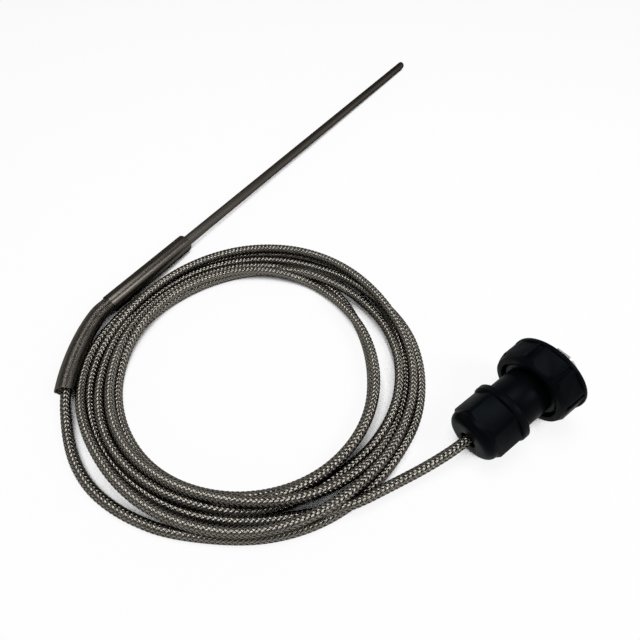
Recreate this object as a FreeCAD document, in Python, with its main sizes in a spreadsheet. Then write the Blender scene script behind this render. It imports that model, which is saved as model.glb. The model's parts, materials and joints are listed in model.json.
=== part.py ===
import FreeCAD, Part
import math
import os
import re
import Sketcher

# A resistance temperature probe with a braided cable and a circular plug.
# Lengths are millimetres and angles are degrees. The probe lies along X with its tip at +X,
# the floor is z = 0, and the origin is on the floor below the middle of the probe.

SIZES = {
    # Sheath and transition sleeve
    "sheath_radius": 3.175,
    "sheath_wall": 0.5,
    "sheath_reach": 310.0,
    "sheath_seat": 19.0,
    "sheath_spigot_step": 0.2,
    "sheath_tip_wall": 1.0,
    "sheath_tip_round": 2.2,
    "sleeve_radius": 5.3,
    "sleeve_wall": 0.5,
    "sleeve_length": 63.0,
    "sleeve_nose": 20.0,
    "sleeve_front_round": 1.0,
    "press_clearance": 0.02,
    "slip_clearance": 0.05,
    # Measuring element, its leads and the insulators that carry them
    "element_radius": 1.6,
    "element_length": 24.0,
    "element_tip_gap": 0.5,
    "lead_radius": 0.3,
    "lead_bare_length": 3.0,
    "wire_count": 4,
    "insulator_clearance": 0.2,
    "insulator_bore_radius": 0.45,
    "insulator_gap": 0.5,
    "insulator_count": 6,
    "end_seal_length": 6.0,
    # Splices and potting inside the sleeve
    "splice_start": 22.0,
    "splice_length": 8.0,
    "splice_radius": 0.8,
    "splice_web": 0.07,
    "core_radius": 0.6,
    "potting_front_gap": 0.1,
    # Spring behind the sleeve
    "spring_wire": 1.0,
    "spring_seat": 6.0,
    "spring_straight": 2.0,
    "spring_tight_radius": 36.0,
    "spring_tight_turn": 22.0,
    "spring_wide_radius": 122.0,
    "spring_wide_turn": 20.3,
    # Cable
    "cable_radius": 2.5,
    "cable_seat": 4.0,
    "coil_x": -174.4,
    "coil_y": -92.5,
    "coil_inner_radius": 63.5,
    "coil_outer_radius": 86.5,
    "coil_height": 9.3,
    "coil_corner_round": 3.0,
    # Where the plug lies
    "plug_x": -157.17,
    "plug_y": -203.96,
    "plug_heading": -21.45,
    # Gland nut
    "nut_radius": 14.1,
    "nut_flat_depth": 1.4,
    "nut_flat_count": 6,
    "nut_flat_start": 1.5,
    "nut_body_length": 18.9,
    "nut_nose_round": 4.4,
    "nut_dome_inset": 1.2,
    "nut_dome_straight": 0.3,
    "nut_shoulder_length": 1.2,
    "nut_nose_wall": 2.5,
    "nut_entry_clearance": 1.7,
    "nut_seat_length": 6.5,
    "nut_seat_small_radius": 6.4,
    "nut_seat_lip": 1.45,
    "collar_rise": 0.7,
    "collar_width": 4.0,
    "collar_chamfer": 0.6,
    "thread_clearance": 0.25,
    # Clamp cage and grommet inside the nut
    "cage_clearance": 0.3,
    "cage_shoulder": 0.5,
    "cage_tail_length": 6.5,
    "cage_tail_clearance": 0.2,
    "cage_bore_radius": 5.2,
    "cage_slot_width": 1.0,
    "cage_slot_length": 5.5,
    "cage_slot_count": 8,
    "grommet_length": 11.0,
    "grommet_clearance": 0.15,
    # Plug body
    "tube_radius": 10.4,
    "tube_wall": 2.2,
    "nut_gap": 0.5,
    "neck_radius": 11.9,
    "neck_length": 20.5,
    "chamber_wall": 1.1,
    "chamber_setback": 2.1,
    "flange_rise": 0.9,
    "flange_width": 3.0,
    "cup_wall": 1.6,
    "cup_bore_radius": 13.0,
    "cup_length": 5.2,
    "cup_floor": 1.6,
    # Snap ring and face seal
    "groove_depth": 0.9,
    "groove_width": 1.4,
    "groove_setback": 0.4,
    "snap_ring_thickness": 1.1,
    "snap_ring_height": 2.55,
    "snap_ring_gap_turn": 25.0,
    "face_seal_thickness": 1.2,
    "face_seal_width": 1.6,
    # Coupling ring
    "ring_float": 0.3,
    "ring_web_width": 2.3,
    "ring_web_clearance": 0.4,
    "ring_back_skirt": 2.9,
    "ring_back_wall": 2.6,
    "ring_back_clearance": 1.7,
    "ring_rise": 3.6,
    "ring_wall": 2.8,
    "ring_flat_depth": 0.8,
    "ring_flat_count": 8,
    "ring_groove_width": 2.0,
    "ring_groove_depth": 0.8,
    "ring_seal_clearance": 0.4,
    "ring_length": 15.2,
    "ring_lip_rise": 0.3,
    "ring_lip_width": 2.3,
    "ring_lip_round": 0.8,
    # Contacts
    "insert_length": 7.4,
    "insert_clearance": 0.1,
    "insert_key_width": 2.4,
    "insert_key_depth": 1.4,
    "contact_turn": 41.0,
    "tab_clearance": 0.4,
    "earth_turn": 45.0,
    "line_blade_count": 4,
    "blade_thickness": 1.0,
    "line_blade_width": 4.8,
    "earth_blade_width": 6.9,
    "blade_reach": 8.0,
    "blade_tip_chamfer": 0.3,
    "tab_width": 3.2,
    "tab_length": 3.7,
    "plug_wire_length": 8.0,
    "plug_wire_rise": 10.0,
    "plug_wire_end_gap": 1.0,
    "screen_wire_radius": 0.4,
    "screen_wire_pitch": 2.0,
}

# Places along the probe, measured from the sleeve's rear end
SHEATH_START = "(sleeve_length - sheath_seat)"
PROBE_TIP = "(sleeve_length + sheath_reach)"
SLEEVE_BORE = "(sleeve_radius - sleeve_wall)"
NOSE_START = "(sleeve_length - sleeve_nose)"
SHEATH_BORE = "(sheath_radius - sheath_wall)"
SHEATH_SPIGOT = "(sheath_radius - sheath_spigot_step)"
ELEMENT_START = f"({PROBE_TIP} - sheath_tip_wall - element_tip_gap - element_length)"
STACK_START = f"({SHEATH_START} + end_seal_length + insulator_gap)"
STACK_STEP = f"(({ELEMENT_START} - lead_bare_length - {STACK_START}) / insulator_count)"
CABLE_END = "(spring_seat + cable_seat)"
SPLICE_MIDDLE = "(splice_start + splice_length / 2)"
SPLICE_END = "(splice_start + splice_length)"
POTTING_END = f"({NOSE_START} - potting_front_gap)"
SPRING_RADIUS = f"({SLEEVE_BORE} - slip_clearance)"
WIRE_PITCH = "((splice_radius + slip_clearance + splice_web / 2) * sqrt(2))"

# Places along the plug, measured from the gland nut's nose
DOME_END = "(nut_nose_round + nut_dome_straight)"
NUT_END = "(nut_body_length + collar_width)"
SEAT_END = "(nut_nose_wall + nut_seat_length)"
TUBE_START = f"({SEAT_END} + cage_shoulder)"
CAGE_END = f"({TUBE_START} + cage_tail_length)"
CAGE_START = "(nut_nose_wall + cage_clearance)"
NECK_START = f"({NUT_END} + nut_gap)"
CHAMBER_START = f"({NECK_START} + chamber_setback)"
FLANGE_START = f"({NECK_START} + neck_length)"
FLANGE_END = f"({FLANGE_START} + flange_width)"
CUP_FLOOR = f"({FLANGE_START} + cup_floor)"
WEB_END = f"({FLANGE_START} - ring_float)"
WEB_START = f"({WEB_END} - ring_web_width)"
GROOVE_END = f"({WEB_START} - groove_setback)"
GROOVE_START = f"({GROOVE_END} - groove_width)"
RING_START = f"({WEB_START} - ring_back_skirt)"
RING_END = f"({RING_START} + ring_length)"
LIP_START = f"({RING_END} - ring_lip_width)"
INSERT_START = f"({CUP_FLOOR} + insert_clearance)"
INSERT_END = f"({INSERT_START} + insert_length)"

# Distances from the plug's axis, each built on the piece inside it
NUT_BORE = "(tube_radius + thread_clearance)"
NUT_ENTRY = "(cable_radius + nut_entry_clearance)"
NUT_DOME = "(nut_radius - nut_dome_inset)"
NUT_FLAT = "(nut_radius - nut_flat_depth)"
COLLAR_RADIUS = "(nut_radius + collar_rise)"
SEAT_MOUTH = f"({NUT_BORE} - nut_seat_lip)"
TUBE_BORE = "(tube_radius - tube_wall)"
GROOVE_RADIUS = "(neck_radius - groove_depth)"
CHAMBER_RADIUS = f"({GROOVE_RADIUS} - chamber_wall)"
SNAP_BORE = f"({GROOVE_RADIUS} + slip_clearance)"
SNAP_RADIUS = f"({SNAP_BORE} + snap_ring_height)"
CUP_RADIUS = "(cup_bore_radius + cup_wall)"
FLANGE_RADIUS = f"({CUP_RADIUS} + flange_rise)"
SEAL_BORE = f"({CUP_RADIUS} + insert_clearance)"
SEAL_RADIUS = f"({SEAL_BORE} + face_seal_width)"
WEB_BORE = "(neck_radius + ring_web_clearance)"
RING_RECESS = f"({SNAP_RADIUS} + ring_back_clearance)"
RING_BACK = f"({RING_RECESS} + ring_back_wall)"
RING_THREAD = f"({SEAL_RADIUS} + ring_seal_clearance)"
RING_GRIP = f"({RING_THREAD} + ring_wall)"
RING_FLAT = f"({RING_GRIP} - ring_flat_depth)"
RING_LIP = f"({RING_GRIP} + ring_lip_rise)"
CONTACT_PITCH = f"({CHAMBER_RADIUS} - tab_clearance - blade_thickness / 2)"

# The cable's route outside the coil, from the potting to the coil and from the coil to the plug
LEAD_IN = [
    (-176.55, 0.0, 5.658),
    (-195.5, 0.0, 5.788),
    (-222.2, -10.8, 5.85),
    (-239.5, -26.6, 5.05),
    (-247.2, -35.6, 3.2),
    (-254.6, -46.4, 2.5),
    (-260.4, -58.4, 2.5),
    (-263.8, -71.4, 2.5),
    (-264.4, -84.5, 2.5),
    (-262.8, -98.4, 2.5),
    (-258.4, -113.6, 2.5),
    (-250.4, -128.0, 2.5),
]
LEAD_OUT = [
    (-239.2, -147.3, 2.5),
    (-227.9, -159.9, 2.5),
    (-212.0, -171.4, 2.5),
    (-194.6, -182.3, 3.1),
    (-176.9, -193.4, 6.9),
    (-159.926, -202.877, 11.565),
    (-142.506, -209.722, 14.592),
]

doc = FreeCAD.newDocument("RtdSensor")
sheet = doc.addObject("Spreadsheet::Sheet", "Sizes")
for row, (name, value) in enumerate(SIZES.items(), 1):
    sheet.set(f"A{row}", name)
    sheet.set(f"B{row}", str(value))
    sheet.setAlias(f"B{row}", name)
doc.recompute()

nodes = []


def bound(text):
    return re.sub(r"[a-z_]+", lambda word: f"Sizes.{word[0]}" if word[0] in SIZES else word[0], text)


def size(text):
    result = sheet.evalExpression(text)
    return float(getattr(result, "Value", result))


def count(text):
    return round(size(text))


def new_node(kind, label):
    node = doc.addObject(kind, label)
    node.Label = label
    nodes.append(node)
    return node


def new_body(label, place):
    body = new_node("PartDesign::Body", label)
    body.Placement = place
    return body


def datum(body, role):
    return next(feature for feature in body.Origin.OriginFeatures if feature.Role == role)


def new_sketch(body, role, start="0", turn="0"):
    sketch = body.newObject("Sketcher::SketchObject", "Sketch")
    sketch.AttachmentSupport = (datum(body, role), [""])
    sketch.MapMode = "FlatFace"
    spin = FreeCAD.Rotation(FreeCAD.Vector(0, 0, 1), size(turn))
    sketch.AttachmentOffset = FreeCAD.Placement(FreeCAD.Vector(0, 0, size(start)), spin)
    sketch.setExpression("AttachmentOffset.Base.z", bound(start))
    return sketch


def tie(sketch, geometry, point, kind, text):
    # A point on an axis of the sketch is held there, any other by a signed distance from the origin
    value = size(text)
    if value == 0:
        sketch.addConstraint(Sketcher.Constraint(
            "PointOnObject", geometry, point, -2 if kind == "DistanceX" else -1))
        return
    ends = (-1, 1, geometry, point) if value > 0 else (geometry, point, -1, 1)
    index = sketch.addConstraint(Sketcher.Constraint(kind, *ends, abs(value)))
    sketch.setExpression(f"Constraints[{index}]", bound(text if value > 0 else f"-({text})"))


def draw_outline(sketch, corners):
    spots = [FreeCAD.Vector(size(x), size(y), 0) for x, y in corners]
    sides = len(spots)
    for side in range(sides):
        sketch.addGeometry(Part.LineSegment(spots[side], spots[(side + 1) % sides]))
    for side in range(sides):
        sketch.addConstraint(Sketcher.Constraint("Coincident", side, 2, (side + 1) % sides, 1))
    for side, (x, y) in enumerate(corners):
        tie(sketch, side, 1, "DistanceX", x)
        tie(sketch, side, 1, "DistanceY", y)


def draw_circle(sketch, radius, x="0"):
    circle = Part.Circle(FreeCAD.Vector(size(x), 0, 0), FreeCAD.Vector(0, 0, 1), size(radius))
    index = sketch.addGeometry(circle)
    tie(sketch, index, 3, "DistanceX", x)
    tie(sketch, index, 3, "DistanceY", "0")
    measure = sketch.addConstraint(Sketcher.Constraint("Radius", index, size(radius)))
    sketch.setExpression(f"Constraints[{measure}]", bound(radius))


def turned(label, place, corners, turn="360"):
    # Corners are (along the axis, away from the axis)
    body = new_body(label, place)
    sketch = new_sketch(body, "XZ_Plane")
    draw_outline(sketch, corners)
    turning = body.newObject("PartDesign::Revolution", "Turning")
    turning.Profile = sketch
    turning.ReferenceAxis = (sketch, ["H_Axis"])
    turning.setExpression("Angle", bound(turn))
    doc.recompute()
    return body


def pad(body, sketch, length):
    feature = body.newObject("PartDesign::Pad", "Pad")
    feature.Profile = sketch
    feature.setExpression("Length", bound(length))
    doc.recompute()


def cut(body, sketch, length, copies="1"):
    # Cuts run towards +X, and repeat around the X axis
    before = body.Tip.Shape.Volume
    pocket = body.newObject("PartDesign::Pocket", "Pocket")
    pocket.Profile = sketch
    pocket.Reversed = True
    pocket.setExpression("Length", bound(length))
    if count(copies) > 1:
        pattern = body.newObject("PartDesign::PolarPattern", "Around")
        pattern.Originals = [pocket]
        pattern.Axis = (datum(body, "X_Axis"), [""])
        pattern.Angle = 360
        pattern.setExpression("Occurrences", bound(copies))
        body.Tip = pattern
    doc.recompute()
    if body.Tip.Shape.Volume >= before:
        raise RuntimeError(f"{body.Label}: a cut removes nothing")


def rim(along, radius):
    def chosen(edge):
        if not isinstance(edge.Curve, Part.Circle):
            return False
        return math.isclose(edge.Curve.Center.x, size(along), abs_tol=1e-4) and math.isclose(
            edge.Curve.Radius, size(radius), abs_tol=1e-4)
    return chosen


def dress(body, kind, amount, *choices):
    base = body.Tip
    names = [f"Edge{index}" for index, edge in enumerate(base.Shape.Edges, 1)
             if any(chosen(edge) for chosen in choices)]
    feature = body.newObject(f"PartDesign::{kind}", kind)
    feature.Base = (base, names)
    feature.setExpression("Radius" if kind == "Fillet" else "Size", bound(amount))
    doc.recompute()


def drilled_rod(label, place, start, length, radius, drills):
    # Each drill is (start, length, radius, distance from the axis, copies)
    body = new_body(label, place)
    sketch = new_sketch(body, "YZ_Plane", start)
    draw_circle(sketch, radius)
    pad(body, sketch, length)
    for drill_start, drill_length, drill_radius, pitch, copies in drills:
        drill = new_sketch(body, "YZ_Plane", drill_start)
        draw_circle(drill, drill_radius, pitch)
        cut(body, drill, drill_length, copies)
    return body


def around(place, turn, away="0", along="0"):
    # A frame turned about the X axis of another, then moved outwards and along it
    turned_place = place.multiply(FreeCAD.Placement(
        FreeCAD.Vector(), FreeCAD.Rotation(FreeCAD.Vector(1, 0, 0), turn)))
    return turned_place.multiply(FreeCAD.Placement(
        FreeCAD.Vector(size(along), size(away), 0), FreeCAD.Rotation()))


def rod(label, place, radius, length):
    cylinder = new_node("Part::Cylinder", label)
    cylinder.setExpression("Radius", bound(radius))
    cylinder.setExpression("Height", bound(length))
    lay = FreeCAD.Rotation(FreeCAD.Vector(0, 1, 0), 90)
    cylinder.Placement = place.multiply(FreeCAD.Placement(FreeCAD.Vector(), lay))


def bent_tube(label, place, points, radius):
    # Straight runs joined by tangent arcs, each as large as its two runs allow
    points = [FreeCAD.Vector(*point) for point in points]
    edges = []
    radii = []
    start = points[0]
    for before, corner, after in zip(points, points[1:], points[2:]):
        back = before - corner
        ahead = after - corner
        reach = 0.45 * min(back.Length, ahead.Length)
        half_turn = (math.pi - back.getAngle(ahead)) / 2
        radii.append(reach / math.tan(half_turn))
        back.normalize()
        ahead.normalize()
        inward = (back + ahead).normalize()
        middle = corner + inward * (radii[-1] / math.cos(half_turn) - radii[-1])
        edges.append(Part.LineSegment(start, corner + back * reach).toShape())
        edges.append(Part.Arc(corner + back * reach, middle, corner + ahead * reach).toShape())
        start = corner + ahead * reach
    edges.append(Part.LineSegment(start, points[-1]).toShape())
    path = Part.Wire(edges)
    section = Part.Wire(Part.Circle(points[0], points[1] - points[0], radius).toShape())
    tube = new_node("Part::Feature", label)
    tube.Shape = path.makePipeShell([section], True, True)
    tube.Placement = place
    expected = math.pi * radius ** 2 * path.Length
    print(f"{label}: length {path.Length:.1f}, volume {tube.Shape.Volume / expected:.5f} of its section's,",
          "bend radii", " ".join(f"{value:.0f}" for value in radii))


def probe_frame():
    # The probe rests on the sleeve's front edge and on the sheath's tip, where their rounding starts
    sleeve_spot = size("sleeve_length - sleeve_front_round")
    tip_spot = size(f"{PROBE_TIP} - sheath_tip_round")
    tilt = math.atan2(size("sleeve_radius - sheath_radius"), tip_spot - sleeve_spot)
    height = size("sleeve_radius") * math.cos(tilt) + sleeve_spot * math.sin(tilt)
    base = FreeCAD.Vector(-size(PROBE_TIP) / 2, 0, height)
    return FreeCAD.Placement(base, FreeCAD.Rotation(FreeCAD.Vector(0, 1, 0), math.degrees(tilt)))


def plug_frame():
    # The plug rests on the rear end of the nut's lowest flat and on the first other spot that
    # touches the floor: the collar, the back of the coupling ring's lowest flat, or its lip
    dome = size("nut_nose_round - nut_flat_depth + nut_dome_inset")
    nose_spot = size("nut_nose_round") - math.sqrt(size("nut_nose_round") ** 2 - dome ** 2)
    spots = [
        (size("nut_body_length + collar_chamfer"), size(COLLAR_RADIUS)),
        (size(f"{RING_START} + ring_rise * ({RING_FLAT} - {RING_BACK}) / ({RING_GRIP} - {RING_BACK})"),
         size(RING_FLAT)),
        (size(LIP_START), size(RING_LIP)),
    ]
    tilt = max(math.atan2(reach - size(NUT_FLAT), along - nose_spot) for along, reach in spots)
    height = size(NUT_FLAT) * math.cos(tilt) - nose_spot * math.sin(tilt)
    heading = FreeCAD.Rotation(FreeCAD.Vector(0, 0, 1), size("plug_heading"))
    lift = FreeCAD.Rotation(FreeCAD.Vector(0, 1, 0), -math.degrees(tilt))
    nose = FreeCAD.Vector(size("plug_x"), size("plug_y"), height)
    return FreeCAD.Placement(nose, heading.multiply(lift))


probe = probe_frame()
plug = plug_frame()


# Sheath, closed and rounded at the tip, with a turned-down spigot that seats in the sleeve
sheath = turned("sheath", probe, [
    (SHEATH_START, SHEATH_BORE),
    (SHEATH_START, SHEATH_SPIGOT),
    ("sleeve_length", SHEATH_SPIGOT),
    ("sleeve_length", "sheath_radius"),
    (PROBE_TIP, "sheath_radius"),
    (PROBE_TIP, "0"),
    (f"{PROBE_TIP} - sheath_tip_wall", "0"),
    (f"{PROBE_TIP} - sheath_tip_wall", SHEATH_BORE),
])
dress(sheath, "Fillet", "sheath_tip_round", rim(PROBE_TIP, "sheath_radius"))

# Transition sleeve, bored for the sheath in front and for the potting and the spring behind
SPIGOT_FIT = f"({SHEATH_SPIGOT} + press_clearance)"
sleeve = turned("transition_sleeve", probe, [
    ("0", SLEEVE_BORE),
    ("0", "sleeve_radius"),
    ("sleeve_length", "sleeve_radius"),
    ("sleeve_length", SPIGOT_FIT),
    (NOSE_START, SPIGOT_FIT),
    (NOSE_START, SLEEVE_BORE),
])
dress(sleeve, "Fillet", "sleeve_front_round", rim("sleeve_length", "sleeve_radius"))

# Measuring element and the insulators that carry its leads
rod("sensing_element", around(probe, 0, along=ELEMENT_START), "element_radius", "element_length")
for index in range(count("insulator_count")):
    insulator_start = f"({STACK_START} + {index} * {STACK_STEP})"
    insulator_length = f"({STACK_STEP} - insulator_gap)"
    drilled_rod(f"insulator_{index + 1}", probe, insulator_start, insulator_length,
                f"({SHEATH_BORE} - insulator_clearance)",
                [(insulator_start, insulator_length, "insulator_bore_radius", WIRE_PITCH, "wire_count")])

# Seal in the sheath's open end
LEAD_FIT = "(lead_radius + slip_clearance)"
drilled_rod("end_seal", probe, SHEATH_START, "end_seal_length", f"({SHEATH_BORE} - slip_clearance)",
            [(SHEATH_START, "end_seal_length", LEAD_FIT, WIRE_PITCH, "wire_count")])

# Potting that fills the sleeve round the cable's end, the cores, the splices and the leads
potting_bores = [("spring_seat", CABLE_END, "(cable_radius + slip_clearance)", "0", "1")]
potting_bores += [(start, end, f"({radius} + slip_clearance)", WIRE_PITCH, "wire_count")
                  for start, end, radius in [(CABLE_END, "splice_start", "core_radius"),
                                             ("splice_start", SPLICE_END, "splice_radius"),
                                             (SPLICE_END, POTTING_END, "lead_radius")]]
drilled_rod("potting", probe, "spring_seat", f"({POTTING_END} - spring_seat)",
            f"({SLEEVE_BORE} - slip_clearance)",
            [(start, f"({end} - {start})", *rest) for start, end, *rest in potting_bores])

# Leads, splices and cable cores, one of each on every wire's line
for index in range(count("wire_count")):
    line = around(probe, index * 360 / count("wire_count"), WIRE_PITCH)
    rod(f"element_lead_{index + 1}", around(line, 0, along=SPLICE_MIDDLE), "lead_radius",
        f"({ELEMENT_START} - {SPLICE_MIDDLE})")
    rod(f"cable_core_{index + 1}", around(line, 0, along=CABLE_END), "core_radius",
        f"({SPLICE_MIDDLE} - {CABLE_END})")
    turned(f"splice_{index + 1}", line, [
        ("splice_start", "(core_radius + press_clearance)"),
        ("splice_start", "splice_radius"),
        (SPLICE_END, "splice_radius"),
        (SPLICE_END, "(lead_radius + press_clearance)"),
        (SPLICE_MIDDLE, "(lead_radius + press_clearance)"),
        (SPLICE_MIDDLE, "(core_radius + press_clearance)"),
    ])


def bend_spring():
    # The close-wound spring as a bent tube, seated in the sleeve and bending twice to its left
    rear = FreeCAD.Placement(FreeCAD.Vector(size("spring_seat"), 0, 0),
                             FreeCAD.Rotation(FreeCAD.Vector(0, 0, 1), 180))
    body = new_body("strain_relief_spring", probe.multiply(rear))
    path = new_sketch(body, "XY_Plane")
    straight = size("spring_seat + spring_straight")
    end = FreeCAD.Vector(straight, 0, 0)
    path.addGeometry(Part.LineSegment(FreeCAD.Vector(), end))
    path.addConstraint(Sketcher.Constraint("Coincident", 0, 1, -1, 1))
    tie(path, 0, 2, "DistanceX", "(spring_seat + spring_straight)")
    tie(path, 0, 2, "DistanceY", "0")
    heading = 0
    for bend, stretch in enumerate(("tight", "wide"), 1):
        radius = size(f"spring_{stretch}_radius")
        sweep = math.radians(size(f"spring_{stretch}_turn"))
        centre = end + FreeCAD.Vector(-math.sin(heading), math.cos(heading), 0) * radius
        circle = Part.Circle(centre, FreeCAD.Vector(0, 0, 1), radius)
        path.addGeometry(Part.ArcOfCircle(circle, heading - math.pi / 2, heading + sweep - math.pi / 2))
        heading += sweep
        end = centre + FreeCAD.Vector(math.sin(heading), -math.cos(heading), 0) * radius
        path.addConstraint(Sketcher.Constraint("Tangent", bend - 1, 2, bend, 1))
        for kind, value, name in (("Radius", radius, "radius"), ("Angle", sweep, "turn")):
            index = path.addConstraint(Sketcher.Constraint(kind, bend, value))
            path.setExpression(f"Constraints[{index}]", bound(f"spring_{stretch}_{name}"))
    section = new_sketch(body, "YZ_Plane")
    draw_circle(section, SPRING_RADIUS)
    draw_circle(section, f"({SPRING_RADIUS} - spring_wire)")
    doc.recompute()
    pipe = body.newObject("PartDesign::AdditivePipe", "Pipe")
    pipe.Profile = section
    pipe.Spine = (path, ["Edge1", "Edge2", "Edge3"])
    doc.recompute()


bend_spring()

# Cable: its free stretches, and the outer shape of the coil between them
in_place = FreeCAD.Placement()
bent_tube("cable_lead_in", in_place, LEAD_IN, size("cable_radius"))
bent_tube("cable_lead_out", in_place, LEAD_OUT, size("cable_radius"))
coil_place = FreeCAD.Placement(FreeCAD.Vector(size("coil_x"), size("coil_y"), 0),
                               FreeCAD.Rotation(FreeCAD.Vector(0, 1, 0), -90))
coil = turned("cable_coil", coil_place, [
    ("0", "coil_inner_radius"),
    ("0", "coil_outer_radius"),
    ("coil_height", "coil_outer_radius"),
    ("coil_height", "coil_inner_radius"),
])
dress(coil, "Fillet", "coil_corner_round", *[rim(along, radius) for along in ("0", "coil_height")
                                             for radius in ("coil_inner_radius", "coil_outer_radius")])

# Gland nut: domed nose, shoulder, six flats, chamfered collar, conical seat inside
nut = turned("gland_nut", plug, [
    ("0", NUT_ENTRY),
    ("0", NUT_DOME),
    (DOME_END, NUT_DOME),
    (f"({DOME_END} + nut_shoulder_length)", "nut_radius"),
    ("nut_body_length", "nut_radius"),
    ("nut_body_length", COLLAR_RADIUS),
    (NUT_END, COLLAR_RADIUS),
    (NUT_END, NUT_BORE),
    (SEAT_END, NUT_BORE),
    (SEAT_END, SEAT_MOUTH),
    ("nut_nose_wall", "nut_seat_small_radius"),
    ("nut_nose_wall", NUT_ENTRY),
])
dress(nut, "Fillet", "nut_nose_round", rim("0", NUT_DOME))
dress(nut, "Chamfer", "collar_chamfer", rim("nut_body_length", COLLAR_RADIUS), rim(NUT_END, COLLAR_RADIUS))
nut_flat = new_sketch(nut, "YZ_Plane", "nut_flat_start")
draw_outline(nut_flat, [
    ("-nut_radius", NUT_FLAT),
    ("nut_radius", NUT_FLAT),
    ("nut_radius", "nut_radius + collar_width"),
    ("-nut_radius", "nut_radius + collar_width"),
])
cut(nut, nut_flat, "(nut_body_length - nut_flat_start)", "nut_flat_count")

# Clamp cage: fingers that the nut's seat closes on the grommet
CAGE_TAIL = f"({TUBE_BORE} - cage_tail_clearance)"
CAGE_SHOULDER = f"({SEAT_MOUTH} - cage_clearance)"
cage = turned("clamp_cage", plug, [
    (CAGE_START, "cage_bore_radius"),
    (CAGE_START, "(nut_seat_small_radius - cage_clearance)"),
    (SEAT_END, CAGE_SHOULDER),
    (TUBE_START, CAGE_SHOULDER),
    (TUBE_START, CAGE_TAIL),
    (CAGE_END, CAGE_TAIL),
    (CAGE_END, "cage_bore_radius"),
])
cage_slot = new_sketch(cage, "YZ_Plane", CAGE_START)
draw_outline(cage_slot, [
    ("-cage_slot_width / 2", "cage_bore_radius - cage_slot_width"),
    ("cage_slot_width / 2", "cage_bore_radius - cage_slot_width"),
    ("cage_slot_width / 2", SEAT_MOUTH),
    ("-cage_slot_width / 2", SEAT_MOUTH),
])
cut(cage, cage_slot, "cage_slot_length", "cage_slot_count")

# Grommet that seals on the cable
GROMMET_START = f"({CAGE_END} - grommet_length)"
drilled_rod("seal_grommet", plug, GROMMET_START, "grommet_length", "(cage_bore_radius - grommet_clearance)",
            [(GROMMET_START, "grommet_length", "(cable_radius + slip_clearance)", "0", "1")])

# Plug body: threaded tube, neck with the snap ring's groove, flange and front cup
turned("connector_body", plug, [
    (TUBE_START, TUBE_BORE),
    (TUBE_START, "tube_radius"),
    (NECK_START, "tube_radius"),
    (NECK_START, "neck_radius"),
    (GROOVE_START, "neck_radius"),
    (GROOVE_START, GROOVE_RADIUS),
    (GROOVE_END, GROOVE_RADIUS),
    (GROOVE_END, "neck_radius"),
    (FLANGE_START, "neck_radius"),
    (FLANGE_START, FLANGE_RADIUS),
    (FLANGE_END, FLANGE_RADIUS),
    (FLANGE_END, CUP_RADIUS),
    (f"({FLANGE_END} + cup_length)", CUP_RADIUS),
    (f"({FLANGE_END} + cup_length)", "cup_bore_radius"),
    (CUP_FLOOR, "cup_bore_radius"),
    (CUP_FLOOR, CHAMBER_RADIUS),
    (CHAMBER_START, CHAMBER_RADIUS),
    (CHAMBER_START, TUBE_BORE),
])

# Snap ring that keeps the coupling ring on the neck, open at its gap
SNAP_START = f"((({GROOVE_START} + {GROOVE_END}) - snap_ring_thickness) / 2)"
turned("snap_ring", plug, [
    (SNAP_START, SNAP_BORE),
    (SNAP_START, SNAP_RADIUS),
    (f"({SNAP_START} + snap_ring_thickness)", SNAP_RADIUS),
    (f"({SNAP_START} + snap_ring_thickness)", SNAP_BORE),
], "(360 - snap_ring_gap_turn)")

# Flat seal against the flange
SEAL_START = f"({FLANGE_END} + slip_clearance)"
turned("face_seal", plug, [
    (SEAL_START, SEAL_BORE),
    (SEAL_START, SEAL_RADIUS),
    (f"({SEAL_START} + face_seal_thickness)", SEAL_RADIUS),
    (f"({SEAL_START} + face_seal_thickness)", SEAL_BORE),
])

# Coupling ring: a web behind the flange, broad grip flats with a groove between each, a round lip
RISE_END = f"({RING_START} + ring_rise)"
ring = turned("coupling_ring", plug, [
    (RING_START, RING_RECESS),
    (RING_START, RING_BACK),
    (RISE_END, RING_GRIP),
    (LIP_START, RING_GRIP),
    (LIP_START, RING_LIP),
    (RING_END, RING_LIP),
    (RING_END, RING_THREAD),
    (WEB_END, RING_THREAD),
    (WEB_END, WEB_BORE),
    (WEB_START, WEB_BORE),
    (WEB_START, RING_RECESS),
])
ring_flat = new_sketch(ring, "YZ_Plane", RING_START)
draw_outline(ring_flat, [
    (f"-{RING_GRIP}", RING_FLAT),
    (RING_GRIP, RING_FLAT),
    (RING_GRIP, f"{RING_GRIP} + ring_rise"),
    (f"-{RING_GRIP}", f"{RING_GRIP} + ring_rise"),
])
cut(ring, ring_flat, f"({LIP_START} - {RING_START})", "ring_flat_count")
dress(ring, "Fillet", "ring_lip_round", rim(LIP_START, RING_LIP), rim(RING_END, RING_LIP))
groove = new_sketch(ring, "YZ_Plane", RING_START, "180 / ring_flat_count")
draw_outline(groove, [
    ("-ring_groove_width / 2", f"{RING_GRIP} - ring_groove_depth"),
    ("ring_groove_width / 2", f"{RING_GRIP} - ring_groove_depth"),
    ("ring_groove_width / 2", f"{RING_GRIP} + ring_rise"),
    ("-ring_groove_width / 2", f"{RING_GRIP} + ring_rise"),
])
cut(ring, groove, f"({LIP_START} - {RING_START})", "ring_flat_count")

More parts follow.
